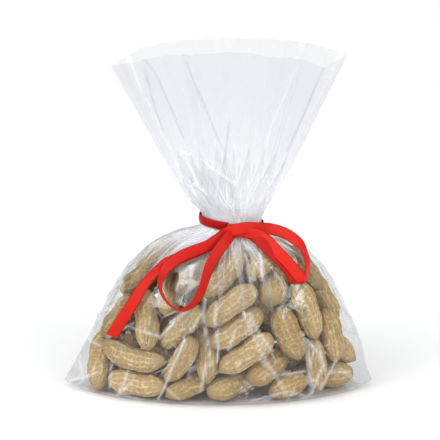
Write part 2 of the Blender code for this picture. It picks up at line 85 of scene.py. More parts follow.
world = bpy.data.worlds.new("studio")
world.use_nodes = True
world.node_tree.nodes["Background"].inputs["Color"].default_value = (0.96, 0.98, 1.0, 1.0)
world.node_tree.nodes["Background"].inputs["Strength"].default_value = 0.42
scene.world = world


def add_light(name, place, aim, size, power):
    """A square soft light at a place, turned towards an aim point, in metres."""
    data = bpy.data.lights.new(name, "AREA")
    data.shape = "RECTANGLE"
    data.size, data.size_y = size
    data.energy = power
    lamp = bpy.data.objects.new(name, data)
    lamp.location = place
    lamp.rotation_euler = (Vector(aim) - Vector(place)).to_track_quat("-Z", "Y").to_euler()
    scene.collection.objects.link(lamp)


add_light("light_left", (-1.2, -0.8, 1.0), (0.0, 0.0, 0.1), (0.7, 1.3), 10.0)
add_light("light_right", (1.1, -1.0, 0.8), (0.0, 0.0, 0.1), (0.4, 1.1), 8.0)
add_light("light_behind", (0.2, 1.5, 0.9), (0.0, 0.0, 0.1), (1.4, 0.5), 2.5)
sky_data = bpy.data.lights.new("light_above", "SUN")
sky_data.energy = 2.35
sky_data.angle = math.radians(110.0)
sky_lamp = bpy.data.objects.new("light_above", sky_data)
sky_lamp.rotation_euler = (math.radians(36.0), 0.0, math.radians(-12.0))
scene.collection.objects.link(sky_lamp)


# ---- Peanuts against the film ----
# Roasted peanuts in the shell: two lobes with a waist, a dry fibrous shell with raised
# lengthwise veins joined by cross veins, and a small beak where the pod hung on its stem.
# They lie loose in the bag, each where its solid in the frame lies.
POD_RINGS = 7
POD_AROUND = 72
POD_ALONG = 88
END_ROUNDNESS = 0.38
WAIST_REACH = 0.17
DEEPER_WAIST = 1.35
VEIN_HEIGHT = 0.50
LUMP_HEIGHT = 0.34
BEAK_LENGTH = 1.1
SHELLS = {
    "peanut_shell_pale": ((0.69, 0.52, 0.265), (0.21, 0.125, 0.045), (0.37, 0.23, 0.085)),
    "peanut_shell_tan": ((0.64, 0.47, 0.220), (0.19, 0.108, 0.038), (0.32, 0.19, 0.065)),
    "peanut_shell_brown": ((0.59, 0.42, 0.185), (0.17, 0.094, 0.030), (0.27, 0.15, 0.048)),
}


def shell_group():
    """Colour, roughness and fine relief of a peanut shell, from three colours."""
    group = bpy.data.node_groups.new("shell_fibres", "ShaderNodeTree")
    for name in ("Vein Colour", "Pit Colour", "Stain Colour"):
        group.interface.new_socket(name, in_out="INPUT", socket_type="NodeSocketColor")
    group.interface.new_socket("Colour", in_out="OUTPUT", socket_type="NodeSocketColor")
    group.interface.new_socket("Roughness", in_out="OUTPUT", socket_type="NodeSocketFloat")
    group.interface.new_socket("Height", in_out="OUTPUT", socket_type="NodeSocketFloat")
    nodes, links = group.nodes, group.links
    given = nodes.new("NodeGroupInput")
    result = nodes.new("NodeGroupOutput")
    place = nodes.new("ShaderNodeTexCoord")
    relief = nodes.new("ShaderNodeAttribute")
    relief.attribute_name = "relief"
    tone = nodes.new("ShaderNodeAttribute")
    tone.attribute_name = "tone"

    stains = nodes.new("ShaderNodeTexNoise")
    stains.inputs["Scale"].default_value = 95.0
    stains.inputs["Detail"].default_value = 5.0
    stains.inputs["Roughness"].default_value = 0.62
    links.new(place.outputs["Object"], stains.inputs["Vector"])
    stretch = nodes.new("ShaderNodeMapping")
    stretch.inputs["Scale"].default_value = (95.0, 9.0, 1.0)
    links.new(place.outputs["UV"], stretch.inputs["Vector"])
    fibres = nodes.new("ShaderNodeTexNoise")
    fibres.inputs["Scale"].default_value = 1.0
    fibres.inputs["Detail"].default_value = 3.0
    links.new(stretch.outputs["Vector"], fibres.inputs["Vector"])
    grit = nodes.new("ShaderNodeTexNoise")
    grit.inputs["Scale"].default_value = 1400.0
    grit.inputs["Detail"].default_value = 2.0
    links.new(place.outputs["Object"], grit.inputs["Vector"])

    ramp = nodes.new("ShaderNodeMapRange")
    ramp.inputs["From Min"].default_value = 0.10
    ramp.inputs["From Max"].default_value = 0.80
    links.new(relief.outputs["Fac"], ramp.inputs["Value"])
    veins = nodes.new("ShaderNodeMix")
    veins.data_type = "RGBA"
    links.new(ramp.outputs["Result"], veins.inputs["Factor"])
    links.new(given.outputs["Pit Colour"], veins.inputs["A"])
    links.new(given.outputs["Vein Colour"], veins.inputs["B"])
    body = nodes.new("ShaderNodeMix")
    body.data_type = "RGBA"
    body.inputs["Factor"].default_value = 0.42
    links.new(veins.outputs["Result"], body.inputs["A"])
    links.new(given.outputs["Vein Colour"], body.inputs["B"])

    stain_mask = nodes.new("ShaderNodeMapRange")
    stain_mask.inputs["From Min"].default_value = 0.50
    stain_mask.inputs["From Max"].default_value = 0.78
    stain_mask.inputs["To Max"].default_value = 0.75
    links.new(stains.outputs["Fac"], stain_mask.inputs["Value"])
    stained = nodes.new("ShaderNodeMix")
    stained.data_type = "RGBA"
    links.new(stain_mask.outputs["Result"], stained.inputs["Factor"])
    links.new(body.outputs["Result"], stained.inputs["A"])
    links.new(given.outputs["Stain Colour"], stained.inputs["B"])

    pits = nodes.new("ShaderNodeTexVoronoi")
    pits.inputs["Scale"].default_value = 520.0
    links.new(place.outputs["Object"], pits.inputs["Vector"])
    pit_mask = nodes.new("ShaderNodeMapRange")
    pit_mask.inputs["From Min"].default_value = 0.30
    pit_mask.inputs["From Max"].default_value = 0.12
    pit_mask.inputs["To Max"].default_value = 0.62
    links.new(pits.outputs["Distance"], pit_mask.inputs["Value"])
    pitted = nodes.new("ShaderNodeMix")
    pitted.data_type = "RGBA"
    links.new(pit_mask.outputs["Result"], pitted.inputs["Factor"])
    links.new(stained.outputs["Result"], pitted.inputs["A"])
    links.new(given.outputs["Pit Colour"], pitted.inputs["B"])

    shade = nodes.new("ShaderNodeMath")
    shade.operation = "MULTIPLY_ADD"
    shade.inputs[1].default_value = 0.34
    shade.inputs[2].default_value = 0.83
    links.new(fibres.outputs["Fac"], shade.inputs[0])
    toned = nodes.new("ShaderNodeMath")
    toned.operation = "MULTIPLY"
    links.new(shade.outputs[0], toned.inputs[0])
    links.new(tone.outputs["Fac"], toned.inputs[1])
    coloured = nodes.new("ShaderNodeVectorMath")
    coloured.operation = "SCALE"
    links.new(pitted.outputs["Result"], coloured.inputs[0])
    links.new(toned.outputs[0], coloured.inputs["Scale"])

    rough = nodes.new("ShaderNodeMapRange")
    rough.inputs["To Min"].default_value = 0.62
    rough.inputs["To Max"].default_value = 0.92
    links.new(fibres.outputs["Fac"], rough.inputs["Value"])
    height = nodes.new("ShaderNodeMath")
    height.operation = "MULTIPLY_ADD"
    height.inputs[1].default_value = 0.45
    links.new(grit.outputs["Fac"], height.inputs[0])
    links.new(fibres.outputs["Fac"], height.inputs[2])
    links.new(coloured.outputs["Vector"], result.inputs["Colour"])
    links.new(rough.outputs["Result"], result.inputs["Roughness"])
    links.new(height.outputs[0], result.inputs["Height"])
    return group


def shell_material(name, group, colours):
    material = bpy.data.materials.new(name)
    material.use_nodes = True
    nodes, links = material.node_tree.nodes, material.node_tree.links
    shader = nodes["Principled BSDF"]
    shader.inputs["Specular IOR Level"].default_value = 0.28
    look = nodes.new("ShaderNodeGroup")
    look.node_tree = group
    for socket, colour in zip(("Vein Colour", "Pit Colour", "Stain Colour"), colours):
        look.inputs[socket].default_value = (*colour, 1.0)
    bump = nodes.new("ShaderNodeBump")
    bump.inputs["Distance"].default_value = 0.0003
    bump.inputs["Strength"].default_value = 0.55
    links.new(look.outputs["Colour"], shader.inputs["Base Color"])
    links.new(look.outputs["Roughness"], shader.inputs["Roughness"])
    links.new(look.outputs["Height"], bump.inputs["Height"])
    links.new(bump.outputs["Normal"], shader.inputs["Normal"])
    return material


def read_pod(node):
    """Ends, ring middles and ring radii of a pod's solid, from its blunt end to its beak."""
    shape = bmesh.new()
    shape.from_mesh(node.data)
    bmesh.ops.remove_doubles(shape, verts=shape.verts, dist=0.05 * MM)
    points = np.array([vertex.co[:] for vertex in shape.verts]) / MM
    shape.free()
    apart = ((points[:, None] - points[None]) ** 2).sum(axis=2)
    first, last = np.unravel_index(apart.argmax(), apart.shape)
    ends = points[first], points[last]
    axis = (ends[1] - ends[0]) / math.sqrt(apart.max())
    rest = np.delete(points, (first, last), axis=0)
    rest = rest[np.argsort(rest @ axis)]
    rings = np.array_split(rest, POD_RINGS)
    middles = np.array([ring.mean(axis=0) for ring in rings])
    radii = np.array([np.linalg.norm(ring - middle, axis=1).mean() for ring, middle in zip(rings, middles)])
    if radii[:3].sum() < radii[4:].sum():
        return (ends[1], ends[0]), middles[::-1], radii[::-1]
    return ends, middles, radii


RING_PLACES = (1 - np.cos(np.pi * np.arange(1, POD_RINGS + 1) / (POD_RINGS + 1))) / 2


def pod_mesh(name, pod, around, along, chance):
    """A pod's fine shell, with veins, lumps and beak, inside the room of its solid."""
    ends, middles, radii = pod
    start, tip = Vector(ends[0]), Vector(ends[1])
    length = (tip - start).length
    axis = (tip - start).normalized()
    bow = Vector(middles[POD_RINGS // 2]) - (start + tip) / 2
    bow_height = bow.length
    side = bow.normalized() if bow_height > 0.1 else axis.orthogonal().normalized()
    third = axis.cross(side)

    widths = radii / np.sin(np.pi * RING_PLACES) ** END_ROUNDNESS
    lobes = (widths[1] + widths[5]) / 2
    taper = (widths[5] - widths[1]) / (RING_PLACES[5] - RING_PLACES[1])
    waist = max(1 - widths[3] / lobes, 0.0) * DEEPER_WAIST
    veins = chance.choice((11, 12, 13))
    phase = chance.uniform(0.0, 1.0)
    twist = chance.uniform(-0.12, 0.12)
    shift = Vector([chance.uniform(0.0, 90.0) for axis_name in "xyz"])
    link_steps = [chance.uniform(0.0, 1.0) for vein in range(veins)]
    link_length = chance.uniform(2.4, 3.2)
    lump = LUMP_HEIGHT * chance.uniform(0.6, 1.3)
    beak = BEAK_LENGTH * chance.uniform(0.5, 1.3)
    tone = chance.uniform(0.86, 1.08)

    shell = bmesh.new()
    shell.loops.layers.uv.new("shell")
    bmesh.ops.create_uvsphere(shell, u_segments=around, v_segments=along, radius=1.0, calc_uvs=True)
    relief = shell.verts.layers.float.new("relief")
    tones = shell.verts.layers.float.new("tone")
    for vertex in shell.verts:
        place = (1 - vertex.co.z) / 2
        angle = math.atan2(vertex.co.y, vertex.co.x)
        sine = max(math.sin(math.pi * place), 0.0)
        radius = sine ** END_ROUNDNESS * (lobes + taper * (place - 0.5))
        radius *= 1 - waist * math.exp(-((place - 0.5) / WAIST_REACH) ** 2)
        spot = Vector((math.cos(angle), math.sin(angle), place * 3.0))
        wobble = noise.noise(spot * 1.3 + shift)
        turn = (angle / (2 * math.pi) + phase + twist * (place - 0.5)) * veins + 0.75 * wobble
        across = turn % 1.0 - 0.5
        vein = math.exp(-(across / 0.15) ** 2)
        run = place * length / link_length + link_steps[int(turn) % veins]
        run += 0.8 * noise.noise(spot * 3.0 + shift)
        link = math.exp(-((run % 1.0 - 0.5) / 0.17) ** 2) * min(1.0, 2.6 * abs(across) + 0.35)
        high = max(vein, 0.72 * link) * (0.35 + 1.9 * abs(noise.noise(spot * 3.4 - shift)))
        high = min(high, 1.0)
        fade = min(1.0, sine * 2.2)
        rough = noise.noise(spot * 2.2 + shift * 2) * lump
        radius = max(radius * 0.985 + (VEIN_HEIGHT * (high - 0.5) + rough) * fade, 0.0)
        near_tip = math.exp(-((1 - place) / 0.012))
        lengthwise = (place - 0.5) * length + beak * near_tip
        radius *= 1 - 0.25 * near_tip
        sideways = bow_height * (1 - 4 * (place - 0.5) ** 2) + beak * 0.6 * near_tip
        level = (start + tip) / 2 + axis * lengthwise + side * sideways
        flat = 0.0 if sine < 1e-6 else 1.0
        out = (side * math.cos(angle) + third * math.sin(angle)) * radius * flat
        vertex.co = (level + out) * MM
        vertex[relief] = high * fade
        vertex[tones] = tone * (1 - 0.25 * math.exp(-place / 0.02) - 0.2 * near_tip)
    bmesh.ops.recalc_face_normals(shell, faces=shell.faces)
    mesh = bpy.data.meshes.new(name)
    shell.to_mesh(mesh)
    shell.free()
    mesh.shade_smooth()
    return mesh


fibres_group = shell_group()
shell_materials = {name: shell_material(name, fibres_group, colours) for name, colours in SHELLS.items()}
pods = {}
for name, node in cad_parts.items():
    if not name.startswith("peanut"):
        continue
    pods[name] = read_pod(node)
    chance = random.Random(int(name[-2:]))
    slot = node.material_slots[0].name.split(".")[0]
    piece = bpy.data.objects.new("shell_" + name[-2:], pod_mesh("shell_" + name[-2:], pods[name],
                                                                POD_AROUND, POD_ALONG, chance))
    piece.data.materials.append(shell_materials[slot])
    scene.collection.objects.link(piece)
    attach(piece, "root")
    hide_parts(name)


# ---- Peanuts in the middle of the heap ----
# The bag is full, so more pods lie where the outer ones hide them. They fill what room is
# left, each clear of its neighbours, and have the same shell with fewer faces.
# The film that holds them, outlined at each height: left, right, front depth, back depth,
# sharpness of the side edges.
BAG_OUTLINE = np.array((
    (0.0, -89.0, 89.0, 34.0, 32.0, 1.50), (3.5, -94.0, 94.0, 37.5, 35.5, 1.50),
    (12.0, -89.5, 90.5, 39.5, 37.5, 1.40), (28.0, -81.5, 87.0, 40.5, 38.5, 1.30),
    (45.0, -73.0, 80.5, 40.0, 38.0, 1.22), (60.0, -65.5, 73.5, 38.0, 36.0, 1.15),
    (76.0, -56.0, 64.5, 33.0, 31.5, 1.10), (88.0, -45.0, 53.0, 26.0, 25.0, 1.05),
    (96.0, -31.5, 40.0, 18.5, 18.0, 1.00), (99.5, -13.0, 28.5, 12.4, 12.4, 1.00),
    (101.5, -10.5, 26.0, 11.0, 11.0, 1.00), (109.5, -10.5, 26.0, 11.0, 11.0, 1.00),
    (113.5, -13.5, 28.5, 11.5, 11.5, 1.00), (124.0, -20.5, 34.0, 13.0, 13.0, 1.05),
    (138.0, -28.5, 42.0, 15.0, 14.5, 1.15),
))
MIDDLE_TRIES = 26000
MIDDLE_PODS = ((30.0, 6.4), (27.0, 6.0), (24.0, 6.6), (20.0, 6.2))
MIDDLE_ROOM = ((-66.0, 70.0), (-20.0, 20.0), (9.0, 88.0))
MIDDLE_GAP = 0.3
FILM_ROOM = 3.0


def outline(heights):
    """Left, right, front, back and side sharpness at each height, eased between the rows."""
    index = np.clip(np.searchsorted(BAG_OUTLINE[:, 0], heights) - 1, 0, len(BAG_OUTLINE) - 2)
    low, high = BAG_OUTLINE[index], BAG_OUTLINE[index + 1]
    share = ((heights - low[:, 0]) / (high[:, 0] - low[:, 0]))[:, None]
    return (low + (high - low) * np.clip(share, 0.0, 1.0))[:, 1:]


def inside_film(chain, radius):
    """Whether a chain of balls stays inside the film."""
    left, right, front, back, sharp = outline(chain[:, 2] + 0.6 * radius).T
    half = (right - left) / 2 - radius - FILM_ROOM
    depth = np.where(chain[:, 1] > 0, back, front) - radius - FILM_ROOM
    share = np.abs(chain[:, 0] - (left + right) / 2) / half
    return bool((half > 0).all() and (depth > 0).all()
                and (share ** 2 + (np.abs(chain[:, 1]) / depth) ** 2 < 1).all())


middle_chance = random.Random(21)
taken = np.concatenate([pod[1] for pod in pods.values()])
taken_radii = np.concatenate([pod[2] for pod in pods.values()])
middle_pods = []
chain_places = np.linspace(-0.5, 0.5, POD_RINGS)
for attempt in range(MIDDLE_TRIES):
    length, radius = MIDDLE_PODS[min(attempt * len(MIDDLE_PODS) // MIDDLE_TRIES, len(MIDDLE_PODS) - 1)]
    centre = np.array([middle_chance.uniform(*room) for room in MIDDLE_ROOM])
    lean = np.array([middle_chance.gauss(0.0, 1.0) for axis_name in "xyz"])
    lean /= np.linalg.norm(lean)
    chain = centre + lean * (chain_places * (length - 2 * radius))[:, None]
    if chain[:, 2].min() < radius + 1.5:
        continue
    if not inside_film(chain, radius):
        continue
    gap = np.linalg.norm(chain[:, None] - taken[None], axis=2) - taken_radii - radius
    if gap.min() < MIDDLE_GAP:
        continue
    taken = np.concatenate((taken, chain))
    taken_radii = np.concatenate((taken_radii, np.full(len(chain), radius)))
    ends = centre - lean * length / 2, centre + lean * length / 2
    along = ends[0] + (ends[1] - ends[0]) * RING_PLACES[:, None]
    radii = radius * np.sin(np.pi * RING_PLACES) ** END_ROUNDNESS
    middle_pods.append((ends, along, radii))
for index, pod in enumerate(middle_pods):
    name = f"middle_shell_{index + 1:02d}"
    slot = sorted(shell_materials)[index % len(shell_materials)]
    piece = bpy.data.objects.new(name, pod_mesh(name, pod, 30, 36, random.Random(200 + index)))
    piece.data.materials.append(shell_materials[slot])
    scene.collection.objects.link(piece)
    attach(piece, "root")


# ---- Film bag ----
# One sheet of clear crisp film, folded and seamed into a bag. Its flat base is spread by the
# peanuts, its shoulders are drawn in tight to the neck, and above the tie it opens as a fan.
FAN_START = 138.0
FAN_MOUTH = (-64.0, 74.5, 23.0, 20.0, 1.45)
RIM_ACROSS = (-64.0, -44.0, -14.0, 5.0, 44.0, 62.0, 74.5)
RIM_FRONT = (201.0, 209.0, 213.5, 215.0, 210.5, 202.5, 208.0)
RIM_BACK = (201.0, 210.0, 213.0, 213.0, 213.0, 210.5, 208.0)
NECK_HEIGHT = 105.2
NECK_CENTRE = 7.75
NECK_TILT = 0.13
NECK_TILT_REACH = 9.0
FAN_HEIGHT = 70.0
FILM_ROUND = 400.0
FILM_ROWS = 250
FOLDS_PER_HALF = 10
FORWARD_COLUMNS = 13
BACK_COLUMNS = 5
BASE_SHARE = 0.06
POD_CLEARANCE = 0.45
FOLDS_END = 148.0
PLEAT_DEPTH = 1.5


def smooth_columns(table, rounds):
    for turn in range(rounds):
        table[1:-1] = (table[:-2] + 2 * table[1:-1] + table[2:]) / 4
    return table


def flat_folds(chance):
    """Columns where the film turns back on itself, and the place and share of each such fold."""
    columns, places, shares = [0], [None], [0.0]
    for half in (0.0, 0.5):
        steps = np.array([chance.uniform(0.55, 1.45) for fold in range(FOLDS_PER_HALF + 1)])
        middles = half + 0.5 * np.cumsum(steps)[:-1] / steps.sum()
        for middle in middles:
            to_right = 2 * (middle - 0.5) if half else 1 - 2 * middle
            share = chance.uniform(0.45, 1.55) * (1.35 - 0.7 * to_right)
            columns += [columns[-1] + FORWARD_COLUMNS, columns[-1] + FORWARD_COLUMNS + BACK_COLUMNS]
            places += [middle, middle]
            shares += [share, -share]
        columns.append(columns[-1] + FORWARD_COLUMNS)
        places.append(half + 0.5)
        shares.append(0.0)
    places[0] = 0.0
    return np.array(columns), np.array(places, dtype=float), np.array(shares)


def film_surface(folds):
    """The film as rows of points round the bag, from the seam in its base to its rim.

    The film is as wide all the way up. Where the bag is drawn in, the spare width lies in
    flat folds that overlap more and more towards the neck. In the fan they open into pleats.
    """
    fold_columns, fold_places, fold_shares = folds
    count = fold_columns[-1]
    rows = np.linspace(0.0, 1.0, FILM_ROWS + 1)
    heights = np.interp(rows, (BASE_SHARE, BASE_SHARE + 0.02, 0.50, 0.555, 0.66, 1.0),
                        (0.0, 3.5, 96.0, 109.5, FAN_START, FAN_START + FAN_HEIGHT))
    edges = outline(np.minimum(heights, FAN_START))
    fan = np.clip((heights - FAN_START) / FAN_HEIGHT, 0.0, 1.0)
    edges = edges + (np.array(FAN_MOUTH) - edges) * fan[:, None]
    body = rows > BASE_SHARE + 0.02
    edges[body] = smooth_columns(edges[body], 5)
    fine = np.linspace(0.0, 2 * np.pi, 721)
    half = len(fine) // 2
    points = np.zeros((len(rows), count + 1, 3))
    layers = np.zeros((len(rows), count + 1))
    turns = np.zeros((len(rows), count + 1))
    pleats = np.zeros((len(rows), count + 1))
    opened = np.clip((heights - NECK_HEIGHT - 4.0) / (FOLDS_END - NECK_HEIGHT - 4.0), 0.0, 1.0)
    columns = np.arange(count + 1)
    for row, (left, right, front, back, sharp) in enumerate(edges):
        depth = np.where(np.sin(fine) > 0, back, front)
        ring_x = (right - left) / 2 * np.cos(fine)
        ring_y = np.sign(np.sin(fine)) * np.abs(np.sin(fine)) ** sharp * depth
        arc = np.concatenate(((0.0,), np.cumsum(np.hypot(np.diff(ring_x), np.diff(ring_y)))))
        spare = max(FILM_ROUND - arc[-1], 0.0) / (4 * FOLDS_PER_HALF) / arc[-1]
        laid = spare * (1 - opened[row])
        spread = np.interp(columns, fold_columns, fold_places + fold_shares * laid)
        seam = min(rows[row] / BASE_SHARE, 1.0)
        spread = columns / count + (spread - columns / count) * seam
        wrapped = spread % 1.0
        wrapped[-1] = 1.0
        along_arc = np.interp(wrapped, (0.0, 0.5, 1.0), (0.0, arc[half], arc[-1]))
        angle = np.interp(along_arc, arc, fine)
        cosine, sine = np.cos(angle), np.sin(angle)
        across = (left + right) / 2 + (right - left) / 2 * cosine
        along = np.sign(sine) * np.abs(sine) ** sharp * np.where(sine > 0, back, front) * seam
        mouth = FAN_MOUTH[0] + (FAN_MOUTH[1] - FAN_MOUTH[0]) * (cosine + 1) / 2
        blend = np.clip(0.5 + sine * 6, 0.0, 1.0)
        rim = (np.interp(mouth, RIM_ACROSS, RIM_BACK) * blend
               + np.interp(mouth, RIM_ACROSS, RIM_FRONT) * (1 - blend))
        up = heights[row] + (rim - FAN_START - FAN_HEIGHT) * fan[row]
        up = up - NECK_TILT * (across - NECK_CENTRE) * np.exp(-((up - NECK_HEIGHT) / NECK_TILT_REACH) ** 2)
        points[row] = np.stack((across, along, up), axis=1)
        layers[row] = np.interp(columns, fold_columns, np.sign(fold_shares)) * min(laid * arc[-1] / 2.5, 1.0)
        turns[row] = wrapped
        pleats[row] = np.interp(columns, fold_columns, fold_shares) * PLEAT_DEPTH * opened[row]
    points[0] = (points[0] + points[0, ::-1]) / 2
    return points, heights, turns, layers, pleats


def outward_of(points, heights):
    """Directions away from the bag's inside, square to its outline and level."""
    edges = outline(np.minimum(heights, FAN_START))
    fan = np.clip((heights - FAN_START) / FAN_HEIGHT, 0.0, 1.0)
    edges = edges + (np.array(FAN_MOUTH) - edges) * fan[:, None]
    left, right, front, back = (edges[:, column, None] for column in range(4))
    slope_x = (points[:, :, 0] - (left + right) / 2) / ((right - left) / 2) ** 2
    slope_y = points[:, :, 1] / np.where(points[:, :, 1] > 0, back, front) ** 2
    slope_z = 0.35 * np.hypot(slope_x, slope_y) * np.sign(NECK_HEIGHT - heights)[:, None]
    normal = np.stack((slope_x, slope_y, slope_z), axis=2)
    return normal / np.maximum(np.linalg.norm(normal, axis=2, keepdims=True), 1e-9)


def fold_lines(count, low, high, chance):
    """Places round the bag of alternate crests and valleys, and how far each one stands."""
    steps = np.array([chance.uniform(0.5, 1.5) for fold in range(count)])
    places = np.cumsum(steps) / steps.sum()
    sizes = [chance.uniform(low, high) * (1 if fold % 2 else -1) for fold in range(count)]
    return places, sizes


def folded(turns, lines):
    return np.interp(turns, *lines, period=1.0)


# Creases of the front, each a run of points across and up, with its width and its height.
FRONT_CREASES = (
    (((-8, 68), (-9, 57), (-4, 28)), 1.3, 1.1), (((-1, 65), (-2, 57), (0, 38), (-1, 30)), 1.3, 1.0),
    (((17, 88), (19, 77), (22, 87)), 1.2, 1.0), (((18, 60), (24, 46), (27, 38)), 1.2, 0.7),
    (((10, 50), (6, 38)), 1.2, 0.9),
    (((-20, 43), (-28, 24), (-33, 10), (-36, 4)), 1.6, 1.5), (((-31, 12), (-24, 5)), 1.2, 0.8),
    (((-57, 70), (-58, 62), (-64, 53)), 1.4, 1.0), (((-35, 43), (-18, 62)), 1.5, 1.2),
    (((-25, 82), (-14, 92), (-8, 98)), 1.2, 0.9),
    (((15, 60), (19, 50), (24, 38), (30, 27), (36, 16), (41, 5)), 1.2, 1.2),
    (((51, 41), (60, 31), (62, 22), (55, 5)), 1.7, 2.0), (((51, 41), (54, 24), (55, 5)), 1.6, 1.6),
    (((70, 24), (68, 20), (61, 7)), 2.4, 1.6), (((45, 9), (40, 0)), 1.3, 1.0),
    (((27, 3), (36, 8)), 1.2, 0.8), (((14, 14), (17, 9)), 1.0, 0.8),
    (((-60, 5), (-48, 2)), 1.5, 1.3), (((20, 4), (40, 9), (55, 3)), 1.6, 1.0),
)


# Creases of the front of the fan, with the whiteness of each as well: painted glints, partly the whitening
# of film at a crease.
# Those with none are painted darker instead, as painted shade of tight folds, partly from their extra layers
# of film.
FAN_CREASES = (
    (((-20.4, 152), (-16.4, 151)), 1.0, 0.8, 0.9), (((-17.4, 146), (-12.4, 132)), 1.0, 0.9, 1.0),
    (((-14.4, 132.5), (-5.5, 125)), 1.1, 0.8, 0.9), (((-10.4, 149), (0, 140), (9.5, 133.5)), 1.1, 0.9, 0.9),
    (((-28.3, 137.5), (-21.4, 151)), 1.0, 0.8, 0.6),
    (((-44, 211), (-36.3, 201), (-30.3, 186.5), (-20.4, 161.5)), 1.0, 1.3, 0.0),
    (((-42.3, 203), (-36.3, 178), (-32.3, 165.5)), 0.9, 1.1, 0.0),
    (((-18.4, 207.5), (-6.4, 178), (2.5, 155)), 0.9, 1.2, 0.0), (((6.5, 173), (3.5, 146)), 0.9, 0.9, 0.0),
    (((46, 205), (30, 168), (20, 120)), 1.2, 0.8, 0.35),
    (((62, 203), (50, 175), (40, 152)), 1.0, 0.9, 0.0),
)


def near_line(across, up, line):
    """Distance of each film point from a run of points, and how far along it lies."""
    best = np.full(across.shape, 1e3)
    for (x0, z0), (x1, z1) in zip(line, line[1:]):
        run = (x1 - x0) ** 2 + (z1 - z0) ** 2
        share = np.clip(((across - x0) * (x1 - x0) + (up - z0) * (z1 - z0)) / run, 0.0, 1.0)
        best = np.minimum(best, np.hypot(across - x0 - share * (x1 - x0), up - z0 - share * (z1 - z0)))
    return best


def crumple(points, heights, turns, layers):
    """How far the film stands out from its smooth form: gathers, folds and sharp creases. Also where it gets
    painted glints (partly the whitening of film at a crease) and painted fold shade.
    """
    chance = random.Random(5)
    level = heights[:, None]
    above = np.clip((level - NECK_HEIGHT) / (FAN_START + FAN_HEIGHT - NECK_HEIGHT), 0.0, 1.0)
    below = np.clip((NECK_HEIGHT - level) / NECK_HEIGHT, 0.0, 1.0)
    gathers = folded(turns, fold_lines(64, 0.45, 1.0, chance))
    folds = folded(turns, fold_lines(26, 0.4, 1.0, chance))
    panels = folded(turns, fold_lines(14, 0.5, 1.0, chance))
    at_neck = np.exp(-(np.maximum(np.abs(level - NECK_HEIGHT) - 4.0, 0.0) / 8.0) ** 2)
    out = layers * 0.35 - 0.6 * at_neck + (gathers - 1) * 0.45 * at_neck
    out = out + gathers * (0.15 * np.exp(-above / 0.2) * (above > 0)
                           + 0.6 * np.exp(-below / 0.12) * (above <= 0))
    out = out + folds * np.minimum(above / 0.25, 1.0) * (0.8 - 0.5 * above)
    out = out + panels * np.clip(above - 0.1, 0.0, 1.0) * 2.4
    shoulder = np.exp(-((below - 0.16) / 0.16) ** 2) * (above <= 0)
    out = out + folds * shoulder * 0.9

    across, along, up = (points[:, :, axis] for axis in range(3))
    front = along < 0
    whitening_and_glint_marks = np.zeros_like(out)
    shades = np.zeros_like(out)
    # The front creases are painted white by their height: painted glints, partly the whitening of film at a
    # crease.
    body_creases = tuple((*crease, min(0.35 + 0.25 * crease[2], 1.0)) for crease in FRONT_CREASES)
    for line, width, height, white in body_creases + FAN_CREASES:
        away = near_line(across, up, line)
        out = out + np.where(front, height * np.exp(-away / width), 0.0)
        whitening_and_glint_marks = np.maximum(whitening_and_glint_marks, np.where(front, white * np.exp(-(away / 0.75) ** 2), 0.0))
        # Creases with no white get painted shade along them instead.
        if white == 0.0:
            shades = np.maximum(shades, np.where(front, np.exp(-(away / 0.5) ** 2), 0.0))
    round_it = np.where(front, -1.0, 1.0)
    for crease in range(190):
        x0 = chance.uniform(-92.0, 92.0)
        z0 = chance.uniform(0.0, 1.0) ** 1.25 * 92.0
        if crease % 4 == 0:
            z0 = chance.uniform(0.0, 14.0)
        length = chance.uniform(6.0, 26.0)
        lean = math.atan2(NECK_HEIGHT - z0, NECK_CENTRE - x0) + chance.gauss(0.0, 0.55)
        if crease % 3 == 0:
            lean = chance.uniform(0.0, math.pi)
        side = chance.choice((-1.0, 1.0))
        height = chance.uniform(0.25, 1.0) * chance.choice((-0.8, 1.0))
        width = chance.uniform(0.9, 3.2)
        end = (x0 + length * math.cos(lean), z0 + length * math.sin(lean))
        line = ((x0, z0), end)
        away = near_line(across, up, line)
        out = out + np.where(round_it == side, height * np.exp(-away / width), 0.0)
        # Every third one is painted white: painted glints, partly the whitening of film at a crease.
        if crease % 3 == 1:
            whitening_and_glint_marks = np.maximum(whitening_and_glint_marks, np.where(round_it == side, 0.65 * np.exp(-(away / 0.7) ** 2), 0.0))
    for crease in range(30):
        x0 = chance.uniform(-58.0, 68.0)
        z0 = chance.uniform(128.0, 212.0)
        lean = math.atan2(z0 - NECK_HEIGHT, x0 - NECK_CENTRE) + chance.gauss(0.0, 0.3)
        length = chance.uniform(8.0, 40.0)
        side = chance.choice((-1.0, 1.0))
        height = chance.uniform(0.25, 0.9) * chance.choice((-1.0, 1.0))
        line = ((x0, z0), (x0 + length * math.cos(lean), z0 + length * math.sin(lean)))
        mask = (round_it == side) & (level > NECK_HEIGHT)
        away = near_line(across, up, line)
        out = out + np.where(mask, height * np.exp(-away / chance.uniform(0.8, 2.0)), 0.0)
    base = np.clip(points[:, :, 2] / 3.0, 0.0, 1.0)
    return out * base, whitening_and_glint_marks, shades


def clear_of_pods(points, margin):
    """Push the film out of the peanuts, so that it lies on them instead of cutting them."""
    middles = np.concatenate([pod[1] for pod in pods.values()])
    radii = np.concatenate([pod[2] for pod in pods.values()])
    flat = points.reshape(-1, 3)
    for start in range(0, len(flat), 8000):
        rows = flat[start:start + 8000]
        arms = rows[:, None] - middles[None]
        distance = np.linalg.norm(arms, axis=2)
        short = radii + margin - distance
        worst = short.argmax(axis=1)
        pick = np.arange(len(rows))
        push = np.maximum(short[pick, worst], 0.0)
        direction = arms[pick, worst] / distance[pick, worst][:, None]
        flat[start:start + 8000] = rows + direction * push[:, None]
    return flat.reshape(points.shape)


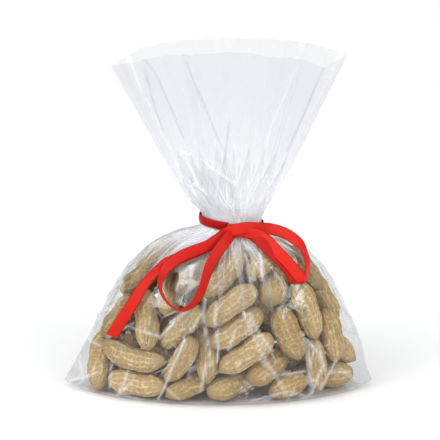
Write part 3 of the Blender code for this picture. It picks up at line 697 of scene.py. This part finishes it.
def film_material():
    """Clear film: light goes through it, and it mirrors the lights more at a low angle."""
    material = bpy.data.materials.new("clear_film")
    material.use_nodes = True
    nodes, links = material.node_tree.nodes, material.node_tree.links

    def sum_node(operation, *values):
        """A Math node whose inputs are each a number or another node's output."""
        node = nodes.new("ShaderNodeMath")
        node.operation = operation
        for socket, value in zip(node.inputs, values):
            if isinstance(value, float):
                socket.default_value = value
            else:
                links.new(value, socket)
        return node

    nodes.remove(nodes["Principled BSDF"])
    through = nodes.new("ShaderNodeBsdfTransparent")
    tint = nodes.new("ShaderNodeMix")
    tint.data_type = "RGBA"
    tint.inputs["A"].default_value = (0.896, 0.901, 0.910, 1.0)
    tint.inputs["B"].default_value = (0.975, 0.975, 0.978, 1.0)
    # Along tight folds the light through the film is cut to a grey: painted shade, partly the extra layers
    # of film in the fold.
    fold_line_shade = nodes.new("ShaderNodeAttribute")
    fold_line_shade.attribute_name = "fold_line_shade"
    shaded = nodes.new("ShaderNodeMix")
    shaded.data_type = "RGBA"
    shaded.inputs["B"].default_value = (0.72, 0.73, 0.75, 1.0)
    links.new(fold_line_shade.outputs["Fac"], shaded.inputs["Factor"])
    links.new(tint.outputs["Result"], shaded.inputs["A"])
    links.new(shaded.outputs["Result"], through.inputs["Color"])
    gloss = nodes.new("ShaderNodeBsdfGlossy")
    gloss.inputs["Color"].default_value = (1.0, 1.0, 1.0, 1.0)
    gloss.inputs["Roughness"].default_value = 0.10
    angle = nodes.new("ShaderNodeLayerWeight")
    angle.inputs["Blend"].default_value = 0.5
    grazing = sum_node("POWER", angle.outputs["Facing"], 4.0)
    mirror = sum_node("MULTIPLY_ADD", grazing.outputs[0], 0.80, 0.04)
    place = nodes.new("ShaderNodeTexCoord")
    crinkle = nodes.new("ShaderNodeTexNoise")
    crinkle.inputs["Scale"].default_value = 140.0
    crinkle.inputs["Detail"].default_value = 3.0
    crinkle.inputs["Distortion"].default_value = 0.6
    links.new(place.outputs["Object"], crinkle.inputs["Vector"])

    # Sharp gathers run up and down the film from the tie. They are bumped and painted white: painted glints,
    # partly the whitening of film at a crease.
    drawn_in = nodes.new("ShaderNodeAttribute")
    drawn_in.attribute_name = "drawn_in"
    links.new(drawn_in.outputs["Fac"], tint.inputs["Factor"])
    long_way = nodes.new("ShaderNodeMapping")
    long_way.inputs["Scale"].default_value = (64.0, 2.6, 1.0)
    links.new(place.outputs["UV"], long_way.inputs["Vector"])
    gathers = nodes.new("ShaderNodeTexNoise")
    gathers.inputs["Scale"].default_value = 1.0
    gathers.inputs["Detail"].default_value = 2.0
    links.new(long_way.outputs["Vector"], gathers.inputs["Vector"])
    off_middle = sum_node("SUBTRACT", gathers.outputs["Fac"], 0.5)
    line = sum_node("ABSOLUTE", off_middle.outputs[0])
    gather_line = nodes.new("ShaderNodeMapRange")
    gather_line.inputs["From Min"].default_value = 0.018
    gather_line.inputs["From Max"].default_value = 0.0
    links.new(line.outputs[0], gather_line.inputs["Value"])
    gather_mask = sum_node("MULTIPLY", gather_line.outputs["Result"], drawn_in.outputs["Fac"])

    # Hard creases cross it where it has been crumpled. They are bumped and painted white: painted glints,
    # partly the whitening of film at a crease.
    across = nodes.new("ShaderNodeMapping")
    across.inputs["Scale"].default_value = (15.0, 8.5, 1.0)
    links.new(place.outputs["UV"], across.inputs["Vector"])
    facets = nodes.new("ShaderNodeTexVoronoi")
    facets.feature = "DISTANCE_TO_EDGE"
    facets.inputs["Scale"].default_value = 1.0
    links.new(across.outputs["Vector"], facets.inputs["Vector"])
    crease_line = nodes.new("ShaderNodeMapRange")
    crease_line.inputs["From Min"].default_value = 0.022
    crease_line.inputs["From Max"].default_value = 0.0
    links.new(facets.outputs["Distance"], crease_line.inputs["Value"])
    crumple_patches = nodes.new("ShaderNodeTexNoise")
    crumple_patches.inputs["Scale"].default_value = 55.0
    links.new(place.outputs["Object"], crumple_patches.inputs["Vector"])
    crumple_patch_mask = nodes.new("ShaderNodeMapRange")
    crumple_patch_mask.inputs["From Min"].default_value = 0.50
    crumple_patch_mask.inputs["From Max"].default_value = 0.62
    links.new(crumple_patches.outputs["Fac"], crumple_patch_mask.inputs["Value"])
    crumpled = nodes.new("ShaderNodeAttribute")
    crumpled.attribute_name = "crumpled"
    crumple_patch_share = sum_node("MULTIPLY", crumple_patch_mask.outputs["Result"], crumpled.outputs["Fac"])
    crease_mask = sum_node("MULTIPLY", crease_line.outputs["Result"], crumple_patch_share.outputs[0])
    # White lines along the listed and the random creases: painted glints, partly the whitening of film at a
    # crease.
    long_whitening_and_glints = nodes.new("ShaderNodeAttribute")
    long_whitening_and_glints.attribute_name = "crease_whitening_and_glints"
    both = sum_node("MAXIMUM", crease_mask.outputs[0], long_whitening_and_glints.outputs["Fac"])
    lines = sum_node("MAXIMUM", gather_mask.outputs[0], both.outputs[0])

    raised = sum_node("MULTIPLY_ADD", lines.outputs[0], 0.35, crinkle.outputs["Fac"])
    bump = nodes.new("ShaderNodeBump")
    bump.inputs["Distance"].default_value = 0.0008
    bump.inputs["Strength"].default_value = 0.35
    links.new(raised.outputs[0], bump.inputs["Height"])
    links.new(bump.outputs["Normal"], gloss.inputs["Normal"])
    links.new(bump.outputs["Normal"], angle.inputs["Normal"])
    film = nodes.new("ShaderNodeMixShader")
    links.new(mirror.outputs[0], film.inputs["Fac"])
    links.new(through.outputs["BSDF"], film.inputs[1])
    links.new(gloss.outputs["BSDF"], film.inputs[2])
    # The white mixed in along gathers and creases: painted glints, partly the whitening of film at a crease;
    # with a white haze near the tie.
    crease_white_glints_and_haze = nodes.new("ShaderNodeBsdfDiffuse")
    crease_white_glints_and_haze.inputs["Color"].default_value = (0.92, 0.93, 0.95, 1.0)
    tight = sum_node("POWER", drawn_in.outputs["Fac"], 4.0)
    haze = sum_node("MULTIPLY", tight.outputs[0], 0.34)
    white_share = sum_node("MULTIPLY_ADD", lines.outputs[0], 0.42, haze.outputs[0])
    crease_whitening_and_glints = nodes.new("ShaderNodeMixShader")
    links.new(white_share.outputs[0], crease_whitening_and_glints.inputs["Fac"])
    links.new(film.outputs["Shader"], crease_whitening_and_glints.inputs[1])
    links.new(crease_white_glints_and_haze.outputs["BSDF"], crease_whitening_and_glints.inputs[2])
    links.new(crease_whitening_and_glints.outputs["Shader"], nodes["Material Output"].inputs["Surface"])
    return material


film_points, film_heights, film_turns, film_layers, film_pleats = film_surface(flat_folds(random.Random(3)))
outward = outward_of(film_points, film_heights)
stand_out, film_whitening_and_glints, film_shades = crumple(film_points, film_heights, film_turns, film_layers)
film_points = film_points + outward * stand_out[:, :, None]
film_points[:, :, 1] += np.sign(film_points[:, :, 1]) * film_pleats
film_points = clear_of_pods(film_points, POD_CLEARANCE)
film_points[:, :, 2] = np.maximum(film_points[:, :, 2], 0.1)
film_points[:, -1] = film_points[:, 0]
sheet_shape = bmesh.new()
sheet_shape.loops.layers.uv.new("film")
columns_round = film_points.shape[1] - 1
bmesh.ops.create_grid(sheet_shape, x_segments=columns_round, y_segments=FILM_ROWS, size=1.0, calc_uvs=True)
drawn_layer = sheet_shape.verts.layers.float.new("drawn_in")
whitening_and_glint_layer = sheet_shape.verts.layers.float.new("crease_whitening_and_glints")
crumple_layer = sheet_shape.verts.layers.float.new("crumpled")
fold_shade_layer = sheet_shape.verts.layers.float.new("fold_line_shade")
for vertex in sheet_shape.verts:
    column = round((vertex.co.x + 1) / 2 * columns_round)
    row = round((vertex.co.y + 1) / 2 * FILM_ROWS)
    vertex.co = Vector(film_points[row, column]) * MM
    reach = 23.0 if film_heights[row] < NECK_HEIGHT else 42.0
    vertex[drawn_layer] = math.exp(-(abs(film_heights[row] - NECK_HEIGHT) / reach) ** 2)
    # Painted glints along creases, partly the whitening of film at a crease.
    vertex[whitening_and_glint_layer] = film_whitening_and_glints[row, column]
    # Painted shade along tight folds, partly their extra layers of film.
    vertex[fold_shade_layer] = film_shades[row, column]
    vertex[crumple_layer] = 0.55 if film_heights[row] < NECK_HEIGHT else 0.1
bmesh.ops.remove_doubles(sheet_shape, verts=sheet_shape.verts, dist=0.002 * MM)
bmesh.ops.recalc_face_normals(sheet_shape, faces=sheet_shape.faces)
film_mesh = bpy.data.meshes.new("film_sheet")
sheet_shape.to_mesh(film_mesh)
sheet_shape.free()
film_mesh.shade_smooth()
film_mesh.set_sharp_from_angle(angle=math.radians(42.0))
film_sheet = bpy.data.objects.new("film_sheet", film_mesh)
film_mesh.materials.append(film_material())
scene.collection.objects.link(film_sheet)
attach(film_sheet, "root")
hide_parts("film_bag")


# ---- Ribbon ----
# One length of red satin ribbon, 7 mm wide, woven with a firm edge and cut slanting at both
# ends. It goes once round the neck and is tied in a bow that lies against the bag's front.
# Routes: across, height, distance in front of the film, turn of its face away from the front.
RIBBON_WIDTH = 7.0
RIBBON_THICKNESS = 0.35
RIBBON_ACROSS = 8
RIBBON_CUP = 0.35
RING_WIDTH = 5.4
RING_CLEARANCE = 1.1
KNOT_CENTRE = Vector((7.4, -14.7, 104.4))
LEFT_LOOP = (
    (7.0, 103.8, 2.6, 5), (-4.0, 98.4, 3.6, 10), (-17.7, 93.6, 3.8, 12), (-26.0, 89.2, 4.2, 18),
    (-31.8, 84.2, 5.2, 34), (-34.8, 76.8, 6.0, 60), (-33.2, 70.2, 5.4, 62), (-29.0, 65.2, 5.0, 62),
    (-22.8, 62.2, 4.6, 60), (-14.2, 66.6, 4.0, 48), (-8.8, 76.6, 3.2, 38), (-6.0, 85.2, 2.8, 34),
    (-1.6, 93.2, 4.2, 26), (3.0, 98.8, 5.2, 16), (8.0, 103.2, 4.6, 5),
)
RIGHT_LOOP = (
    (4.4, 102.6, 3.4, -10), (7.4, 104.8, 7.4, 0), (12.0, 106.0, 7.0, 8), (18.0, 105.8, 4.6, 16),
    (29.0, 103.0, 3.4, 24), (41.0, 99.4, 3.4, 34), (48.8, 93.8, 3.6, 42), (52.8, 87.0, 3.8, 46),
    (53.0, 80.6, 4.0, 44), (50.2, 77.2, 4.4, 34), (45.0, 82.8, 4.0, 18), (38.8, 89.4, 3.6, 12),
    (25.6, 100.6, 4.6, 8), (9.5, 104.2, 5.4, 5),
)
LEFT_TAIL = (
    (6.0, 103.6, 1.2, 5), (-4.0, 98.0, 0.8, 6), (-12.0, 94.4, 0.8, 6), (-22.0, 90.2, 0.8, 12),
    (-30.0, 86.8, 1.0, 30), (-36.0, 83.0, 2.0, 58), (-41.3, 77.6, 2.6, 50), (-46.0, 71.0, 2.8, 34),
    (-52.0, 60.6, 2.8, 24), (-58.5, 50.0, 3.0, 15), (-64.0, 40.8, 4.0, 8),
)
RIGHT_TAIL = (
    (10.0, 104.0, 1.4, 5), (20.0, 101.2, 0.9, 12), (29.5, 94.2, 0.9, 18), (37.5, 87.4, 1.0, 16),
    (43.2, 81.2, 1.4, 10), (46.8, 75.2, 1.8, 4),
)
ROUTE_STEPS = 8


def film_depth(across, height):
    """Distance of the plain film in front of the bag's middle plane."""
    left, right, front, back, sharp = outline(np.array((height,)))[0]
    share = (across - (left + right) / 2) / ((right - left) / 2)
    share = min(max(share, -0.97), 0.97)
    return front * (1 - share * share) ** (sharp / 2)


def smooth_route(points):
    """Points of a smooth curve through the route's own points."""
    route = []
    for index in range(len(points) - 1):
        before = Vector(points[max(index - 1, 0)])
        start, end = Vector(points[index]), Vector(points[index + 1])
        after = Vector(points[min(index + 2, len(points) - 1)])
        for step in range(ROUTE_STEPS):
            t = step / ROUTE_STEPS
            cubic = 2 * start + (end - before) * t + (2 * before - 5 * start + 4 * end - after) * t ** 2
            route.append((cubic + (3 * start - before - 3 * end + after) * t ** 3) / 2)
    route.append(Vector(points[-1]))
    return route


def over_film(across, height, clearance):
    """A point in front of the film, clear of it over the whole width of the ribbon."""
    level = height + NECK_TILT * (across - NECK_CENTRE) * math.exp(
        -((height - NECK_HEIGHT) / NECK_TILT_REACH) ** 2)
    depths = [film_depth(across, level)]
    for eighth in range(8):
        turn = math.radians(45 * eighth)
        beside = across + RIBBON_WIDTH / 2 * math.cos(turn)
        depths.append(film_depth(beside, level + RIBBON_WIDTH / 2 * math.sin(turn)))
    return Vector((across, -max(depths) - clearance, height))


def bow_route(table, centre):
    """Middle line of a loop or tail, and the way its face looks at each point."""
    route = [over_film(*place) for place in smooth_route([row[:3] for row in table])]
    turned = smooth_route([(row[3], 0, 0) for row in table])
    faces = []
    for point, turn in zip(route, turned):
        away = Vector((point.x - centre[0], 0, point.z - centre[1])).normalized()
        angle = math.radians(turn.x)
        faces.append(away * math.sin(angle) + Vector((0, -1, 0)) * math.cos(angle))
    for smoothing in range(6):
        inner = [(route[i - 1] + 2 * route[i] + route[i + 1]) / 4 for i in range(1, len(route) - 1)]
        route = [route[0]] + inner + [route[-1]]
    return route, faces


def ring_route():
    """Middle line of the turn round the neck, from the knot back to the knot."""
    left, right, front, back, sharp = outline(np.array((NECK_HEIGHT,)))[0]
    route, faces = [], []
    for degrees in range(-84, 265, 6):
        angle = math.radians(degrees)
        across = NECK_CENTRE + ((right - left) / 2 + RING_CLEARANCE) * math.cos(angle)
        up = NECK_HEIGHT - NECK_TILT * (across - NECK_CENTRE)
        route.append(Vector((across, (front + RING_CLEARANCE) * math.sin(angle), up)))
        faces.append(Vector((math.cos(angle), math.sin(angle), 0.0)))
    return route, faces


def add_strap(shape, route, faces, width, slant, shade_and_dull, run_start):
    """A strip of ribbon along a route, cupped a little, with a share by which its red is darkened: painted
    shade, partly the duller back of the satin.
    """
    strip = bmesh.new()
    strip.loops.layers.uv.new("ribbon")
    shade_and_dull_layer = strip.verts.layers.float.new("shade_and_dull_side")
    steps = len(route) - 1
    bmesh.ops.create_grid(strip, x_segments=RIBBON_ACROSS, y_segments=steps, size=1.0, calc_uvs=True)
    sides = []
    for index in range(steps + 1):
        run = (route[min(index + 1, steps)] - route[max(index - 1, 0)]).normalized()
        sides.append((run.cross(faces[index]).normalized(), run))
    lengths = [0.0]
    for start, end in zip(route, route[1:]):
        lengths.append(lengths[-1] + (end - start).length)
    places = {}
    for vertex in strip.verts:
        index = round((vertex.co.y + 1) / 2 * steps)
        share = vertex.co.x
        side, run = sides[index]
        outer = side.cross(run)
        cup = RIBBON_CUP * (share * share - 0.4)
        cut = slant * share * max(0.0, 1 - (steps - index) / 2)
        spot = route[index] + side * share * width / 2 + run * cut - outer * cup
        vertex.co = spot * MM
        vertex[shade_and_dull_layer] = shade_and_dull
        places[vertex] = (share * width / 2, run_start + lengths[index])
    layer = strip.loops.layers.uv.active
    for face in strip.faces:
        for loop in face.loops:
            loop[layer].uv = places[loop.vert]
    mesh = bpy.data.meshes.new("strip")
    strip.to_mesh(mesh)
    strip.free()
    shape.from_mesh(mesh)
    bpy.data.meshes.remove(mesh)
    return run_start + lengths[-1]


left_tail = bow_route(LEFT_TAIL, (-20.0, 60.0))
left_loop = bow_route(LEFT_LOOP, (-15.0, 84.0))
neck_turn = ring_route()
right_loop = bow_route(RIGHT_LOOP, (32.0, 89.0))
right_tail = bow_route(RIGHT_TAIL, (0.0, 60.0))
ribbon_shape = bmesh.new()
ribbon_shape.loops.layers.uv.new("ribbon")
ribbon_shape.verts.layers.float.new("shade_and_dull_side")
end = 0.0
# Each piece: its route, width, slant of its cut end, and how far its red is darkened as painted shade,
# partly the duller back of the satin.
for (route, faces), width, slant, shade_and_dull in (
        (left_tail, RIBBON_WIDTH, 0.6, 0.25), (left_loop, RIBBON_WIDTH, 0.0, 0.5),
        (neck_turn, RING_WIDTH, 0.0, 1.0),
        (right_loop, RIBBON_WIDTH, 0.0, 0.1), (right_tail, RIBBON_WIDTH, -1.6, 0.9)):
    end = add_strap(ribbon_shape, route, faces, width, slant, shade_and_dull, end)

knot_route, knot_faces = [], []
for degrees in range(0, 361, 15):
    angle = math.radians(degrees)
    bulge = 1.0 + 0.05 * math.sin(3 * angle)
    from_centre = Vector((0.7 * math.sin(angle), -3.3 * math.cos(angle), 3.5 * math.sin(angle)))
    knot_route.append(KNOT_CENTRE + from_centre * bulge)
    knot_faces.append(Vector((0.0, -math.cos(angle), math.sin(angle))).normalized())
# The knot's red is darkened the same way: painted shade, partly the duller back of the satin.
end = add_strap(ribbon_shape, knot_route, knot_faces, 6.4, 0.0, 0.7, end)


def satin_material():
    """Red satin: lengthwise warp floats over fine ribs, a firm edge and a broad soft shine."""
    material = bpy.data.materials.new("red_satin")
    material.use_nodes = True
    nodes, links = material.node_tree.nodes, material.node_tree.links
    shader = nodes["Principled BSDF"]
    shader.inputs["Roughness"].default_value = 0.36
    shader.inputs["Anisotropic"].default_value = 0.55
    shader.inputs["Sheen Weight"].default_value = 0.05
    shader.inputs["Sheen Tint"].default_value = (1.0, 0.10, 0.05, 1.0)
    shader.inputs["Sheen Roughness"].default_value = 0.4
    shader.inputs["Specular IOR Level"].default_value = 0.16
    place = nodes.new("ShaderNodeTexCoord")
    threads = nodes.new("ShaderNodeMapping")
    threads.inputs["Scale"].default_value = (7.0, 0.35, 1.0)
    links.new(place.outputs["UV"], threads.inputs["Vector"])
    warp = nodes.new("ShaderNodeTexNoise")
    warp.inputs["Scale"].default_value = 1.0
    warp.inputs["Detail"].default_value = 2.0
    links.new(threads.outputs["Vector"], warp.inputs["Vector"])
    ribs = nodes.new("ShaderNodeTexWave")
    ribs.bands_direction = "Y"
    ribs.inputs["Scale"].default_value = 0.65
    ribs.inputs["Distortion"].default_value = 0.6
    links.new(place.outputs["UV"], ribs.inputs["Vector"])
    split = nodes.new("ShaderNodeSeparateXYZ")
    links.new(place.outputs["UV"], split.inputs["Vector"])
    middle = nodes.new("ShaderNodeMath")
    middle.operation = "ABSOLUTE"
    links.new(split.outputs["X"], middle.inputs[0])
    selvedge = nodes.new("ShaderNodeMapRange")
    selvedge.inputs["From Min"].default_value = 3.0
    selvedge.inputs["From Max"].default_value = 3.2
    links.new(middle.outputs[0], selvedge.inputs["Value"])
    tint = nodes.new("ShaderNodeMix")
    tint.data_type = "RGBA"
    tint.inputs["A"].default_value = (0.50, 0.004, 0.002, 1.0)
    tint.inputs["B"].default_value = (0.64, 0.024, 0.010, 1.0)
    links.new(warp.outputs["Fac"], tint.inputs["Factor"])
    # Darker red by the share given to each piece: painted shade where the ring and parts of the bow lie in
    # shadow, partly the duller back of the satin.
    shade_and_dull_side = nodes.new("ShaderNodeAttribute")
    shade_and_dull_side.attribute_name = "shade_and_dull_side"
    dull_and_shaded_red = nodes.new("ShaderNodeMix")
    dull_and_shaded_red.data_type = "RGBA"
    dull_and_shaded_red.inputs["B"].default_value = (0.34, 0.002, 0.001, 1.0)
    links.new(shade_and_dull_side.outputs["Fac"], dull_and_shaded_red.inputs["Factor"])
    links.new(tint.outputs["Result"], dull_and_shaded_red.inputs["A"])
    edged = nodes.new("ShaderNodeMix")
    edged.data_type = "RGBA"
    edged.inputs["B"].default_value = (0.38, 0.003, 0.002, 1.0)
    links.new(selvedge.outputs["Result"], edged.inputs["Factor"])
    links.new(dull_and_shaded_red.outputs["Result"], edged.inputs["A"])
    links.new(edged.outputs["Result"], shader.inputs["Base Color"])
    relief = nodes.new("ShaderNodeMath")
    relief.operation = "MULTIPLY_ADD"
    relief.inputs[1].default_value = 0.4
    links.new(ribs.outputs["Fac"], relief.inputs[0])
    links.new(warp.outputs["Fac"], relief.inputs[2])
    bump = nodes.new("ShaderNodeBump")
    bump.inputs["Distance"].default_value = 0.0002
    bump.inputs["Strength"].default_value = 0.4
    links.new(relief.outputs[0], bump.inputs["Height"])
    links.new(bump.outputs["Normal"], shader.inputs["Normal"])
    return material


ribbon_mesh = bpy.data.meshes.new("ribbon_bow")
ribbon_shape.to_mesh(ribbon_mesh)
ribbon_shape.free()
ribbon_mesh.shade_smooth()
ribbon_mesh.materials.append(satin_material())
ribbon_bow = bpy.data.objects.new("ribbon_bow", ribbon_mesh)
scene.collection.objects.link(ribbon_bow)
thickness = ribbon_bow.modifiers.new("thickness", "SOLIDIFY")
thickness.thickness = RIBBON_THICKNESS * MM
thickness.offset = 0.0

ribbon_path = (left_tail[0][::-1] + left_loop[0] + neck_turn[0] + right_loop[0] + right_tail[0])
ribbon_path = [tuple(point * MM) for point in ribbon_path]
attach(ribbon_bow, "root")
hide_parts("ribbon")

# The ribbon presses the film back where it lies on it.
PRESSED_FROM, PRESSED_TO = 38.0, 112.0
PRESSED_PAST_EDGE = 1.5
PRESSED_BEHIND = 0.8
pressing = np.array([point[:] for route, faces in (left_tail, left_loop, right_loop, right_tail)
                     for point in route])
sheet_points = np.empty(len(film_mesh.vertices) * 3)
film_mesh.vertices.foreach_get("co", sheet_points)
sheet_points = sheet_points.reshape(-1, 3) / MM
near = np.flatnonzero((sheet_points[:, 1] < 0) & (sheet_points[:, 2] > PRESSED_FROM)
                      & (sheet_points[:, 2] < PRESSED_TO))
gaps = np.linalg.norm(sheet_points[near][:, None, (0, 2)] - pressing[None][:, :, (0, 2)], axis=2)
closest = gaps.argmin(axis=1)
under = gaps[np.arange(len(near)), closest] < RIBBON_WIDTH / 2 + PRESSED_PAST_EDGE
deepest = pressing[closest, 1] + PRESSED_BEHIND
sheet_points[near[under], 1] = np.maximum(sheet_points[near[under], 1], deepest[under])
film_mesh.vertices.foreach_set("co", (sheet_points * MM).ravel())
film_mesh.update()
